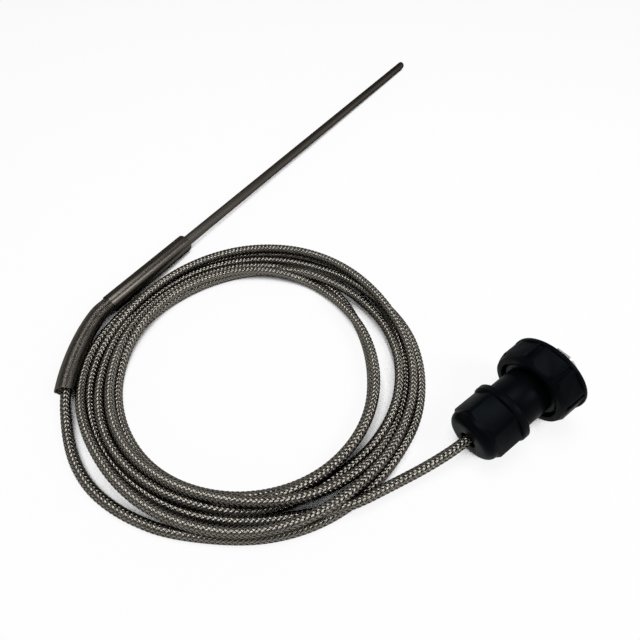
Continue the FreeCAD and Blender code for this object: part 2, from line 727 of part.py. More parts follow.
# Contact insert with a slot for each blade and a key slot in its rim
insert = drilled_rod("contact_insert", around(plug, size("contact_turn")), INSERT_START, "insert_length",
                     "(cup_bore_radius - insert_clearance)", [])
for slot_turn, width, copies in (("0", "line_blade_width", "line_blade_count"),
                                 ("earth_turn", "earth_blade_width", "1")):
    slot = new_sketch(insert, "YZ_Plane", INSERT_START, slot_turn)
    slot_inside = f"{CONTACT_PITCH} - blade_thickness / 2 - slip_clearance"
    slot_outside = f"{CONTACT_PITCH} + blade_thickness / 2 + slip_clearance"
    half_slot = f"({width} / 2 + slip_clearance)"
    draw_outline(slot, [
        (slot_inside, f"-{half_slot}"),
        (slot_outside, f"-{half_slot}"),
        (slot_outside, half_slot),
        (slot_inside, half_slot),
    ])
    cut(insert, slot, "insert_length", copies)
key = new_sketch(insert, "YZ_Plane", INSERT_START, "earth_turn")
draw_outline(key, [
    ("cup_bore_radius - insert_key_depth", "-insert_key_width / 2"),
    ("cup_bore_radius + insert_key_depth", "-insert_key_width / 2"),
    ("cup_bore_radius + insert_key_depth", "insert_key_width / 2"),
    ("cup_bore_radius - insert_key_depth", "insert_key_width / 2"),
])
cut(insert, key, "insert_length")


def blade(label, turn, width):
    # A flat blade through the insert, with a narrower tab behind for its wire
    body = new_body(label, around(plug, turn - 90))
    sketch = new_sketch(body, "XY_Plane", f"({CONTACT_PITCH} - blade_thickness / 2)")
    tab_start = f"({INSERT_START} - tab_length)"
    tip = f"({INSERT_END} + blade_reach)"
    draw_outline(sketch, [
        (tab_start, "-tab_width / 2"),
        (INSERT_START, "-tab_width / 2"),
        (INSERT_START, f"-{width} / 2"),
        (tip, f"-{width} / 2"),
        (tip, f"{width} / 2"),
        (INSERT_START, f"{width} / 2"),
        (INSERT_START, "tab_width / 2"),
        (tab_start, "tab_width / 2"),
    ])
    pad(body, sketch, "blade_thickness")
    dress(body, "Chamfer", "blade_tip_chamfer", lambda edge: all(
        math.isclose(vertex.Point.x, size(tip), abs_tol=1e-4) for vertex in edge.Vertexes))


def plug_wire(label, turn, pitch, radius):
    # A wire from the cable's end that spreads to the inner face of a blade's tab
    tab = size(f"{CONTACT_PITCH} - blade_thickness / 2 - slip_clearance") - radius
    begin = size(CAGE_END)
    level = begin + size("plug_wire_length")
    finish = size(f"{INSERT_START} - plug_wire_end_gap")
    bent_tube(label, around(plug, turn), [
        (begin, size(pitch), 0),
        (level, size(pitch), 0),
        (level + size("plug_wire_rise"), tab, 0),
        (finish, tab, 0),
    ], radius)


# Earth contact and its wire to the braid, then the line contacts and their wires
earth_turn = size("contact_turn + earth_turn")
blade("earth_blade", earth_turn, "earth_blade_width")
plug_wire("screen_wire", earth_turn, "screen_wire_pitch", size("screen_wire_radius"))
for index in range(count("line_blade_count")):
    line_turn = size("contact_turn") + index * 360 / count("line_blade_count")
    blade(f"line_blade_{index + 1}", line_turn, "line_blade_width")
    plug_wire(f"core_wire_{index + 1}", line_turn, WIRE_PITCH, size("core_radius"))

doc.recompute()
for item in doc.Objects:
    if "Invalid" in item.State or "Error" in item.State:
        raise RuntimeError(f"{item.Label} failed to build")
for node in nodes:
    if node.Shape.isNull() or not node.Shape.isValid() or not node.Shape.Solids:
        raise RuntimeError(f"{node.Label} has no valid solid")

os.makedirs("parts", exist_ok=True)
for node in nodes:
    node.Shape.exportStep(os.path.join("parts", f"{node.Label}.step"))
print(len(nodes), "pieces written")
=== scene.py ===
import json
import math
import bmesh
import bpy
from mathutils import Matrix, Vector


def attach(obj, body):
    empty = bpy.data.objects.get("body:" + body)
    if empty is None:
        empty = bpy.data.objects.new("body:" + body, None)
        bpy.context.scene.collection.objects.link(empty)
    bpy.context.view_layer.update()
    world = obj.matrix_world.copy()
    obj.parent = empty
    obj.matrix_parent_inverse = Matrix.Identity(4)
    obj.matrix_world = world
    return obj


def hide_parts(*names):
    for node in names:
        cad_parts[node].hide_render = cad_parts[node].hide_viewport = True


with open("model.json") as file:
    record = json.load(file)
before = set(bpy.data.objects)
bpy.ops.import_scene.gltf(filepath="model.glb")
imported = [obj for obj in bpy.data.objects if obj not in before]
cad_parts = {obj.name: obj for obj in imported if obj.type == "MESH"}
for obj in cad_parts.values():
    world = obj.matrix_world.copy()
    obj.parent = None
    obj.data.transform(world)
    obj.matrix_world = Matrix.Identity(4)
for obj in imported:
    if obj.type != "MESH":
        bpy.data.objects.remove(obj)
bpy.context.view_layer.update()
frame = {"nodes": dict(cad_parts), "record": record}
nodes = frame["nodes"]
scene = bpy.context.scene
scene.view_settings.view_transform = "Standard"
mm = 0.001
fullTurn = 2 * math.pi
white = (1, 1, 1, 1)


class Flow:
    # one socket of a node tree, so that a sum of sockets reads as a sum
    def __init__(self, tree, socket=None):
        self.tree = tree
        self.socket = socket

    def node(self, kind, settings=None, sockets=None, out=0):
        # a new node: its settings first, then the values or links of its sockets
        made = self.tree.nodes.new(kind)
        for name, value in (settings or {}).items():
            setattr(made, name, value)
        for name, value in (sockets or {}).items():
            if isinstance(value, Flow):
                self.tree.links.new(value.socket, made.inputs[name])
            elif value is not None:
                made.inputs[name].default_value = value
        return Flow(self.tree, made.outputs[out] if len(made.outputs) else None)

    def output(self, name):
        # another output of the same node
        return Flow(self.tree, self.socket.node.outputs[name])

    def maths(self, operation, first, second=None):
        return self.node("ShaderNodeMath", {"operation": operation}, {0: first, 1: second})

    def vectors(self, operation, first, second):
        return self.node("ShaderNodeVectorMath", {"operation": operation}, {0: first, 1: second})

    def scaled(self, amount):
        return self.node("ShaderNodeVectorMath", {"operation": "SCALE"}, {0: self, "Scale": amount})

    def blend(self, share, first, second):
        # a Mix node takes its colours at sockets 6 and 7 and gives one at 2
        return self.node("ShaderNodeMix", {"data_type": "RGBA"}, {0: share, 6: first, 7: second}, 2)

    def between(self, low, high):
        # 0 below low, 1 above high, smooth between
        return self.node("ShaderNodeMapRange", {"interpolation_type": "SMOOTHSTEP"},
                         {"Value": self, "From Min": low, "From Max": high})

    def __add__(self, other):
        return self.maths("ADD", self, other)

    def __radd__(self, other):
        return self.maths("ADD", other, self)

    def __sub__(self, other):
        return self.maths("SUBTRACT", self, other)

    def __rsub__(self, other):
        return self.maths("SUBTRACT", other, self)

    def __mul__(self, other):
        return self.maths("MULTIPLY", self, other)

    def __rmul__(self, other):
        return self.maths("MULTIPLY", other, self)

    def __truediv__(self, other):
        return self.maths("DIVIDE", self, other)

    def __rtruediv__(self, other):
        return self.maths("DIVIDE", other, self)


def newFinish(name, build):
    material = bpy.data.materials.new(name)
    material.use_nodes = True
    material.node_tree.nodes.clear()
    flow = Flow(material.node_tree)
    flow.node("ShaderNodeOutputMaterial", None, {"Surface": build(flow)})
    return material


fineDetail, softDetail = 2.0, 3.0  # noise octaves of tool lines and of patches


def grain(flow, scale, stretch=(1, 1, 1), detail=softDetail):
    # noise in the part's own frame, drawn out by stretch
    place = flow.node("ShaderNodeTexCoord", None, None, "Object")
    place = flow.node("ShaderNodeMapping", None, {"Vector": place, "Scale": stretch})
    return flow.node("ShaderNodeTexNoise", None, {"Vector": place, "Scale": scale, "Detail": detail})


def bumped(flow, height, distance, strength=1.0):
    return flow.node("ShaderNodeBump", None, {"Height": height, "Distance": distance, "Strength": strength})


def placed(name, data):
    # a new object in the scene
    made = bpy.data.objects.new(name, data)
    scene.collection.objects.link(made)
    return made


def facing(direction):
    # the turn that points a camera or a lamp along a direction
    return direction.to_track_quat("-Z", "Y").to_euler()


# Camera, where the photograph was taken from
photoView = {"place": (-0.26819, -0.1960, 0.212), "heading": 32.74, "pitch": 51.65,
             "lens": 26.44, "sensor": 36, "clipStart": 0.01}
camera = placed("photoCamera", bpy.data.cameras.new("photoCamera"))
camera.data.lens = photoView["lens"]
camera.data.sensor_width = photoView["sensor"]
camera.data.clip_start = photoView["clipStart"]
camera.location = photoView["place"]
heading, pitch = math.radians(photoView["heading"]), math.radians(photoView["pitch"])
level = math.cos(pitch)
camera.rotation_euler = facing(Vector((math.cos(heading) * level, math.sin(heading) * level, -math.sin(pitch))))
scene.camera = camera

# Cable: from the potting through the spring, six turns of coil, then up into the plug
cable = {
    "diameter": 5.0 * mm,
    "coreRadius": 1.98 * mm,
    # control points and stations are in mm
    "leadIn": [
        (-176.55, 0, 5.658), (-195.5, 0, 5.788), (-222.2, -10.8, 5.85), (-239.5, -26.6, 5.05), (-247.2, -35.6, 3.2),
        (-254.6, -46.4, 2.5), (-260.4, -58.4, 2.5), (-263.8, -71.4, 2.5), (-264.4, -84.5, 2.5), (-262.8, -98.4, 2.5),
        (-258.8, -114, 2.5),
    ],
    "leadOut": [
        (-224.1, -156.2, 3), (-218.6, -163.1, 4.4), (-212.6, -169.6, 6.2), (-205.7, -175.8, 7.4),
        (-194.6, -182.3, 6.2), (-176.9, -193.4, 7.4), (-159.926, -202.877, 11.565), (-142.506, -209.722, 14.592),
    ],
    "centre": (-174.39, -92.52),
    "firstAngle": 210,
    "lastAngle": 2382,
    "pointsPerTurn": 30,
    "steps": 6,  # steps of the curve between two control points
    "roundSteps": 3,  # the core has four sides and two more for each of these
    "outset": 1.0055,  # the spline runs this much inside its control points
    # angle along the cable in degrees, distance from the centre, height of the cable's middle
    "stations": [
        (205.8, 85.5, 2.5), (209.9, 84.9, 2.5), (240.1, 86.7, 2.5), (260.2, 86.7, 2.5), (270.3, 87.2, 2.5),
        (275.3, 88.2, 2.5), (280.3, 88.6, 2.5), (290.4, 88.7, 2.5), (310.4, 88.5, 2.5), (315.4, 88.2, 2.5),
        (320.3, 87.3, 2.8), (324.9, 85.9, 3.8), (333.5, 81.8, 6.8), (338.4, 80.1, 7.2), (343.7, 79.4, 6.6),
        (349.3, 79.5, 5.2), (354.9, 80.1, 3.8), (360.2, 79.8, 2.8), (370.3, 79.4, 2.5), (400.1, 79, 2.5),
        (429.8, 79, 2.5), (449.7, 78.3, 2.5), (470, 76.9, 3.5), (478.5, 75.9, 4.5), (493.3, 75.8, 6),
        (511.4, 76, 6.3), (521.3, 75.8, 6.3), (531.1, 75, 6), (550.9, 73.9, 6.2), (560.4, 73.7, 5.2),
        (570, 74.2, 3.6), (579.9, 74.5, 2.6), (590, 74.3, 2.5), (600.1, 73.5, 2.5), (610.2, 73.3, 2.5),
        (620.3, 74.3, 2.5), (625.3, 75, 2.6), (630, 75.8, 3.4), (639.2, 77.1, 5.6), (648.8, 77.5, 6.3),
        (658.7, 77.5, 6.3), (668.8, 77.2, 6), (679, 76.5, 5.5), (689.3, 75.2, 5), (699.3, 73.9, 5), (709, 72, 5.8),
        (718.7, 70.3, 6.6), (726.7, 69.3, 7.2), (731.8, 68.6, 7.2), (737.3, 68.7, 6.2), (745, 69.6, 3.4),
        (750.2, 69.3, 2.6), (760.1, 68.2, 2.5), (779.9, 67, 2.5), (789.8, 66.9, 2.5), (799.7, 67.4, 2.5),
        (809.6, 68.3, 2.5), (839.5, 72.8, 2.5), (849.5, 73.2, 2.5), (869.5, 73, 2.5), (899.6, 72.1, 2.5),
        (909.7, 71.6, 2.6), (930.2, 71.4, 4.8), (949.9, 70.8, 6.2), (959.6, 70.4, 6.8), (969.3, 69.7, 7),
        (988.7, 68, 7), (1008.2, 66, 7), (1018, 64.6, 7), (1027.9, 63.6, 7), (1047.8, 62.3, 7.2), (1058, 61.9, 7),
        (1063.5, 62.2, 6.2), (1069.2, 63, 5), (1075, 64.4, 3.6), (1080.3, 65.7, 2.8), (1090, 66.4, 3.4),
        (1099.2, 65.1, 6.4), (1104.2, 64.9, 7.2), (1119.7, 66.2, 7.2), (1161.1, 67.1, 7.2), (1171.4, 66.9, 7.2),
        (1181.7, 66.5, 7.2), (1191.3, 66.7, 6), (1200.2, 67.7, 3.8), (1209.5, 68.1, 2.6), (1239.5, 68.1, 2.5),
        (1259.6, 68.4, 2.5), (1279.7, 68, 2.5), (1299.9, 68.1, 2.5), (1320.1, 68.3, 2.5), (1330.2, 68, 2.5),
        (1350.4, 66.6, 2.5), (1365.5, 65, 2.5), (1375.6, 63.4, 2.5), (1380.6, 62.9, 2.5), (1390.6, 62.7, 2.5),
        (1400.6, 62.9, 2.5), (1410.6, 64, 2.5), (1415.6, 64.9, 2.5), (1435.4, 69.5, 2.5), (1440.4, 70.4, 2.5),
        (1460.2, 72.7, 2.5), (1470.2, 73.6, 2.5), (1480.1, 74, 2.5), (1499.9, 74.3, 2.5), (1519.7, 74.3, 2.5),
        (1529.9, 73.7, 3.2), (1540.6, 72, 5), (1551.5, 70.7, 6.6), (1561.9, 70.2, 7.2), (1592, 70.8, 7.3),
        (1601.9, 70.7, 7.3), (1621.6, 69.8, 7.4), (1631.4, 69.6, 7.6), (1641.2, 69.9, 8), (1650.9, 71, 9),
        (1660.4, 72.7, 9.4), (1679.6, 76.2, 7.6), (1694.2, 78.7, 7.2), (1699.2, 79.3, 6.6), (1709.9, 79.7, 3.8),
        (1720.4, 80.2, 2.5), (1740.5, 81, 2.5), (1760.5, 81.8, 2.5), (1790.4, 84.8, 2.5), (1800.3, 85.4, 2.5),
        (1820.2, 84.9, 2.5), (1845, 83.5, 2.5), (1874.8, 83.2, 2.5), (1884.7, 83.3, 2.5), (1894.7, 84, 2.5),
        (1904.6, 85.3, 2.5), (1909.6, 86.2, 2.5), (1914.6, 86.9, 2.5), (1919.6, 87.1, 2.6), (1930, 86.2, 3.6),
        (1941, 84.6, 5.6), (1946.4, 83.6, 6.6), (1951.6, 82.7, 7), (1961.6, 81.8, 7.2), (1971.5, 81.8, 7.2),
        (2000.8, 82.7, 7.2), (2010.6, 83.7, 7.6), (2020.3, 84.5, 8.6), (2029.9, 84.9, 9.8), (2039.4, 84.4, 10),
        (2049, 83.8, 9), (2059, 83.5, 7.4), (2069.3, 83.6, 5.9), (2089.2, 84.4, 5.6), (2099.1, 84.4, 5.6),
        (2108.8, 84.1, 6.2), (2118, 83, 7.8), (2126.9, 81.2, 10.2), (2131.5, 80.6, 11.2), (2136.5, 80.4, 11.5),
        (2141.8, 80.9, 11), (2153.1, 83.2, 8.8), (2158.5, 84.5, 7.9), (2168.9, 85.2, 7.5), (2179.2, 85.4, 7.5),
        (2199.8, 84.1, 7.5), (2230.7, 80.3, 7.4), (2241, 79.3, 7.4), (2251.2, 78.9, 7.2), (2256.2, 79.2, 6.8),
        (2260.9, 79.8, 6), (2270, 81.5, 3.6), (2277.6, 82.3, 2.6), (2284.5, 82.2, 2.5), (2299.5, 81.4, 2.5),
        (2324.6, 78.9, 2.5), (2339.6, 77.5, 2.5), (2359.8, 77.6, 2.5), (2369.8, 77.8, 2.5), (2379.9, 78.4, 2.5),
        (2385, 79, 2.5),
    ],
}


def coilPoint(angle):
    # the coil at an angle, straight between the stations before and after it
    for (a0, r0, z0), (a1, r1, z1) in zip(cable["stations"], cable["stations"][1:]):
        if a0 <= angle <= a1:
            share = (angle - a0) / (a1 - a0)
            reach = (r0 + (r1 - r0) * share) * cable["outset"]
            turn = math.radians(angle)
            return (cable["centre"][0] + reach * math.cos(turn),
                    cable["centre"][1] + reach * math.sin(turn), z0 + (z1 - z0) * share)


def routeCurve(name, points, steps):
    # a bare spline on control points in mm
    curve = bpy.data.curves.new(name, "CURVE")
    curve.dimensions = "3D"
    spline = curve.splines.new("NURBS")
    spline.points.add(len(points) - 1)
    for point, (x, y, z) in zip(spline.points, points):
        point.co = (x * mm, y * mm, z * mm, 1)
    spline.order_u = 3
    spline.use_endpoint_u = True
    curve.resolution_u = steps
    return placed(name, curve)


def meshOf(source):
    # the plain mesh that an object gives with its modifiers, without the object
    bpy.context.view_layer.update()
    graph = bpy.context.evaluated_depsgraph_get()
    mesh = bpy.data.meshes.new_from_object(
        source.evaluated_get(graph), preserve_all_data_layers=True, depsgraph=graph)
    bpy.data.objects.remove(source)
    return mesh


def lengthOf(points, steps):
    # a route's length, measured on its spline
    mesh = meshOf(routeCurve("routeMeasure", points, steps))
    line = [vertex.co.copy() for vertex in mesh.vertices]
    bpy.data.meshes.remove(mesh)
    return sum((b - a).length for a, b in zip(line, line[1:]))


stepAngle = 360 / cable["pointsPerTurn"]
turnSteps = round((cable["lastAngle"] - cable["firstAngle"]) / stepAngle) + 1
coilPoints = [coilPoint(cable["firstAngle"] + step * stepAngle) for step in range(turnSteps)]
routePoints = [*cable["leadIn"], *coilPoints, *cable["leadOut"]]
core = routeCurve("cableCore", routePoints, cable["steps"])
core.data.bevel_depth = cable["coreRadius"]
core.data.bevel_resolution = cable["roundSteps"]
core.data.use_fill_caps = True
cableLength = lengthOf(routePoints, cable["steps"])
print("cable:", len(routePoints), "points,", round(cableLength, 3), "m long")

# Floor, backdrop and soft light; the floor carries painted shade in narrow gaps, such as those between the cable's
# turns: there ambient occlusion turns its colour near black and takes its glow away
stageLook = {"floorReach": 6, "floorColour": (0.8, 0.8, 0.8, 1), "glow": 0.86,
             "gapPaintedShade": (0.04, 0.04, 0.04, 1), "gapRays": 8, "gapReach": 0.02, "gapDark": 0.25, "gapPale": 0.36,
             "horizon": 1.0, "ceiling": 0.12, "fadeFrom": 0.25, "fadeTo": 0.6}
far = stageLook["floorReach"]
floorMesh = bpy.data.meshes.new("studioFloor")
floorMesh.from_pydata([(-far, -far, 0), (far, -far, 0), (far, far, 0), (-far, far, 0)], [], [(0, 1, 2, 3)])
floor = placed("studioFloor", floorMesh)


def floorPaper(flow):
    # clear is 0 in narrow gaps and 1 in the open: the mask of the floor's painted shade
    clear = flow.node("ShaderNodeAmbientOcclusion", {"samples": stageLook["gapRays"]},
                      {"Distance": stageLook["gapReach"]}, "AO")
    clear = clear.between(stageLook["gapDark"], stageLook["gapPale"])
    # in the gaps the floor takes the near-black gap colour, which is painted shade
    gap, paper = [flow.node("ShaderNodeBsdfDiffuse", None, {"Color": stageLook[name]})
                  for name in ("gapPaintedShade", "floorColour")]
    dull = flow.node("ShaderNodeMixShader", None, {0: clear, 1: gap, 2: paper})
    glow = flow.node("ShaderNodeEmission", None, {"Color": white, "Strength": 1.0})
    rays = flow.node("ShaderNodeLightPath", None, None, "Is Camera Ray")
    seen = flow.maths("MINIMUM", rays + rays.output("Is Glossy Ray") + rays.output("Is Transmission Ray"), 1.0)
    # the glow is taken away in the gaps as well, so that the painted shade shows
    return flow.node("ShaderNodeMixShader", None, {0: seen * clear * stageLook["glow"], 1: dull, 2: glow})


floorMesh.materials.append(newFinish("floorPaper", floorPaper))
world = bpy.data.worlds.new("studioWorld")
scene.world = world
world.use_nodes = True
world.node_tree.nodes.clear()
sky = Flow(world.node_tree)
direction = sky.node("ShaderNodeTexCoord", None, None, "Generated")
height = sky.node("ShaderNodeSeparateXYZ", None, {"Vector": direction}, "Z")
shade = height.between(stageLook["fadeFrom"], stageLook["fadeTo"])  # pale walls, a dim ceiling
skyLight = stageLook["horizon"] - shade * (stageLook["horizon"] - stageLook["ceiling"])
sky.node("ShaderNodeOutputWorld", None, {
    "Surface": sky.node("ShaderNodeBackground", None, {"Color": white, "Strength": skyLight})})

lamps = {
    "keySoftbox": {"place": (-0.14, 0.0, 1.0), "aim": (-0.14, -0.05, 0), "size": 0.5, "watts": 7.3},
    "sideSoftbox": {"place": (0.10, -0.85, 0.80), "aim": (-0.16, -0.09, 0), "size": 0.35, "watts": 4.3},
}
for name, lamp in lamps.items():
    light = bpy.data.lights.new(name, "AREA")
    light.shape = "RECTANGLE"
    light.size = light.size_y = lamp["size"]
    light.energy = lamp["watts"]
    stand = placed(name, light)
    stand.location = lamp["place"]
    stand.rotation_euler = facing(Vector(lamp["aim"]) - Vector(lamp["place"]))
print("camera, floor and lamps set")


def principled(flow, sockets):
    return flow.node("ShaderNodeBsdfPrincipled", None, sockets)


rimTint = (0.12, 0.11, 0.10, 1)


def darkMetal(flow, sockets):
    # metal whose rim stays as dark as its face
    return principled(flow, {"Metallic": 1.0, "Specular Tint": rimTint, **sockets})


# Bare steel of the sheath, the sleeve and the spring: tool lines over duller patches, each (scale, stretch)
sheathSteel = {"lines": (1500, (0.012, 1, 1)), "patches": (55, (0.4, 1, 1)), "lineShare": 0.55,
               "dark": (0.050, 0.045, 0.039, 1), "pale": (0.122, 0.110, 0.097, 1),
               "rough": 0.34, "roughSpan": 0.16, "roughBy": "lines", "depth": 0.03 * mm}
sleeveSteel = {"lines": (2600, (1, 0.01, 0.01)), "patches": (70, (0.3, 1, 1)), "lineShare": 0.5,
               "dark": (0.050, 0.0455, 0.040, 1), "pale": (0.108, 0.098, 0.086, 1),
               "rough": 0.25, "roughSpan": 0.08, "roughBy": "patches", "depth": 0.03 * mm}
springSteel = {"lines": (2200, (1, 1, 1)), "patches": (90, (1, 1, 1)), "lineShare": 0.5,
               "dark": (0.080, 0.072, 0.063, 1), "pale": (0.185, 0.167, 0.147, 1),
               "rough": 0.24, "roughSpan": 0.08, "roughBy": "lines", "depth": 0.02 * mm}


def workedSteel(look):
    def build(flow):
        marks = {"lines": grain(flow, *look["lines"], fineDetail), "patches": grain(flow, *look["patches"])}
        shade = marks["lines"] * look["lineShare"] + marks["patches"] * (1 - look["lineShare"])
        return darkMetal(flow, {
            "Base Color": flow.blend(shade, look["dark"], look["pale"]),
            "Roughness": look["rough"] + marks[look["roughBy"]] * look["roughSpan"],
            "Normal": bumped(flow, marks["lines"], look["depth"])})
    return build


# Braid strands: fine wires side by side, tarnished, with painted shade in the grooves between the wires and painted
# shade with grime along the strand's edges
braidSteel = {"wires": 6, "wireShare": 0.35, "tarnish": 900, "tarnishShare": 0.4, "run": 90, "runShare": 0.25,
              "dark": (0.084, 0.077, 0.066, 1), "pale": (0.32, 0.30, 0.265, 1),
              "edgeFrom": 0.6, "edgeTo": 1.0, "edgeShare": 0.9, "edgeShadeAndGrime": (0.008, 0.007, 0.006, 1),
              "rough": 0.16, "roughSpan": 0.14, "wireHeight": 0.12, "depth": 0.15 * mm}


def braidedWire(flow):
    look = braidSteel
    across, along = [flow.node("ShaderNodeAttribute", {"attribute_name": name}, None, "Fac")
                     for name in ("across", "along")]
    # wires also sets the colour: paler on each wire's crown and darker between wires, in step with the bump, which
    # is painted shade in the grooves
    wires = flow.maths("SINE", across * (fullTurn * look["wires"])) * 0.5 + 0.5
    offset = flow.maths("ABSOLUTE", across - 0.5) * 2  # 0 in the strand's middle, 1 at its edges
    # edge is the mask of painted shade with grime along the strand's edges, in the crevices between neighbouring
    # strands
    edge = offset.between(look["edgeFrom"], look["edgeTo"])
    tarnish = grain(flow, look["tarnish"])
    run = flow.node("ShaderNodeTexNoise", {"noise_dimensions": "1D"}, {"W": along * look["run"], "Scale": 1.0})
    shade = wires * look["wireShare"] + tarnish * look["tarnishShare"] + run * look["runShare"]
    colour = flow.blend(shade, look["dark"], look["pale"])
    return darkMetal(flow, {
        # the strand's edges go near black: painted shade with grime
        "Base Color": flow.blend(edge * look["edgeShare"], colour, look["edgeShadeAndGrime"]),
        "Roughness": look["rough"] + tarnish * look["roughSpan"],
        "Normal": bumped(flow, wires * look["wireHeight"] - offset * offset, look["depth"])})


coreLook = {"speck": 2500, "dark": (0.004, 0.0035, 0.003, 1), "pale": (0.014, 0.0125, 0.010, 1),
            "rough": 0.7, "roughSpan": 0.2, "specular": 0.1}


def darkCore(flow):
    speck = grain(flow, coreLook["speck"])
    return principled(flow, {
        "Base Color": flow.blend(speck, coreLook["dark"], coreLook["pale"]),
        "Roughness": coreLook["rough"] + speck * coreLook["roughSpan"], "Specular IOR Level": coreLook["specular"]})


# Black plastic with a fine mould grain, faint flow marks and a little dust
mouldLook = {"pores": 3200, "poreDepth": 0.03 * mm, "poreStrength": 0.6, "marks": (70, (1, 1, 0.5)),
             "darker": 0.75, "paler": 1.35, "dust": 900, "dustDetail": 5.0, "dustFrom": 0.62, "dustTo": 0.78,
             "dustShare": 0.3, "dustColour": (0.008, 0.0085, 0.010, 1), "roughSpan": 0.08,
             "specular": 0.03, "specularTint": (0.7, 0.84, 1, 1)}


def satinMoulding(tint, rough):
    def build(flow):
        look = mouldLook
        pores = grain(flow, look["pores"], detail=fineDetail)
        marks = grain(flow, *look["marks"])
        dust = grain(flow, look["dust"], detail=look["dustDetail"]).between(look["dustFrom"], look["dustTo"])
        darker, paler = [(*[part * look[name] for part in tint], 1) for name in ("darker", "paler")]
        return principled(flow, {
            "Base Color": flow.blend(dust * look["dustShare"], flow.blend(marks, darker, paler), look["dustColour"]),
            "Roughness": rough + marks * look["roughSpan"] + pores * look["roughSpan"],
            "Specular IOR Level": look["specular"], "Specular Tint": look["specularTint"],
            "Normal": bumped(flow, pores, look["poreDepth"], look["poreStrength"])})
    return build


mattRoughSpan = 0.12


def matt(low, high, scale, rough, depth=0.02 * mm):
    # a plain dull surface with fine grain: ceramics, seals, insulation
    def build(flow):
        speck = grain(flow, scale)
        return principled(flow, {
            "Base Color": flow.blend(speck, (*low, 1), (*high, 1)), "Roughness": rough + speck * mattRoughSpan,
            "Normal": bumped(flow, speck, depth)})
    return build


platedLook = {"lines": (1800, (0.25, 1, 1)), "patches": 260, "lineShare": 0.5, "roughSpan": 0.15, "depth": 0.02 * mm}


def plated(low, high, rough):
    # plated metal with fine rolling lines and dull patches
    def build(flow):
        lines = grain(flow, *platedLook["lines"], fineDetail)
        patches = grain(flow, platedLook["patches"])
        shade = lines * platedLook["lineShare"] + patches * (1 - platedLook["lineShare"])
        return principled(flow, {
            "Base Color": flow.blend(shade, (*low, 1), (*high, 1)), "Metallic": 1.0,
            "Roughness": rough + patches * platedLook["roughSpan"],
            "Normal": bumped(flow, lines, platedLook["depth"])})
    return build


# Braid: two sets of flat wire strands, wound opposite ways, each over two and under two
braid = {"lay": 18.5 * mm, "carriers": 8, "wavesPerTurn": 4, "samplesPerTurn": 32, "radius": 2.16 * mm,
         "wave": 0.20 * mm, "width": 1.26 * mm, "bulge": 0.19 * mm}


def newTree(name, inputs):
    # a geometry tree with named inputs; gives the flow and the group input
    tree = bpy.data.node_groups.new(name, "GeometryNodeTree")
    tree.interface.new_socket("Geometry", in_out="OUTPUT", socket_type="NodeSocketGeometry")
    tree.interface.new_socket("Geometry", in_out="INPUT", socket_type="NodeSocketGeometry")
    for label, kind in inputs:
        tree.interface.new_socket(label, in_out="INPUT", socket_type=f"NodeSocket{kind}")
    flow = Flow(tree)
    return flow, flow.node("NodeGroupInput")


def named(flow, name, kind="FLOAT"):
    return flow.node("GeometryNodeInputNamedAttribute", {"data_type": kind}, {"Name": name})


def store(flow, shape, name, value, kind="FLOAT"):
    return flow.node("GeometryNodeStoreNamedAttribute", {"data_type": kind, "domain": "POINT"},
                     {"Geometry": shape, "Name": name, "Value": value})


def closeTree(flow, shape, material):
    shape = flow.node("GeometryNodeRealizeInstances", None, {"Geometry": shape})
    shape = flow.node("GeometryNodeSetMaterial", None, {"Geometry": shape, "Material": material})
    flow.node("NodeGroupOutput", None, {"Geometry": shape})
    return flow.tree


def wound(flow, path, samples, copies, turnAngle, lift, profile):
    # copies of a path wound round it: turnAngle(s, i) gives the angle, lift(s, i) the distance from the path
    line = flow.node("GeometryNodeResampleCurve", {"mode": "COUNT"}, {"Curve": path, "Count": samples})
    line = store(flow, line, "side", flow.node("GeometryNodeInputNormal"), "FLOAT_VECTOR")
    line = store(flow, line, "ahead", flow.node("GeometryNodeInputTangent"), "FLOAT_VECTOR")
    line = store(flow, line, "along", flow.node("GeometryNodeSplineParameter", None, None, "Length"))
    strands = flow.node("GeometryNodeDuplicateElements", {"domain": "SPLINE"}, {"Geometry": line, "Amount": copies})
    strand = strands.output("Duplicate Index")
    along = named(flow, "along")
    side, ahead = [named(flow, name, "FLOAT_VECTOR") for name in ("side", "ahead")]
    angle = turnAngle(along, strand)
    rise = flow.vectors("CROSS_PRODUCT", ahead, side)
    outward = flow.vectors("ADD", side.scaled(flow.maths("COSINE", angle)), rise.scaled(flow.maths("SINE", angle)))
    strands = store(flow, strands, "outward", outward, "FLOAT_VECTOR")
    outward = named(flow, "outward", "FLOAT_VECTOR")
    offset = outward.scaled(lift(along, strand))
    strands = flow.node("GeometryNodeSetPosition", None, {"Geometry": strands, "Offset": offset})
    strands = flow.node("GeometryNodeSetCurveNormal", {"mode": "FREE"}, {"Curve": strands, "Normal": outward})
    mesh = flow.node("GeometryNodeCurveToMesh", None, {
        "Curve": strands, "Profile Curve": profile, "Fill Caps": True})
    return flow.node("GeometryNodeSetShadeSmooth", None, {"Geometry": mesh, "Shade Smooth": True})


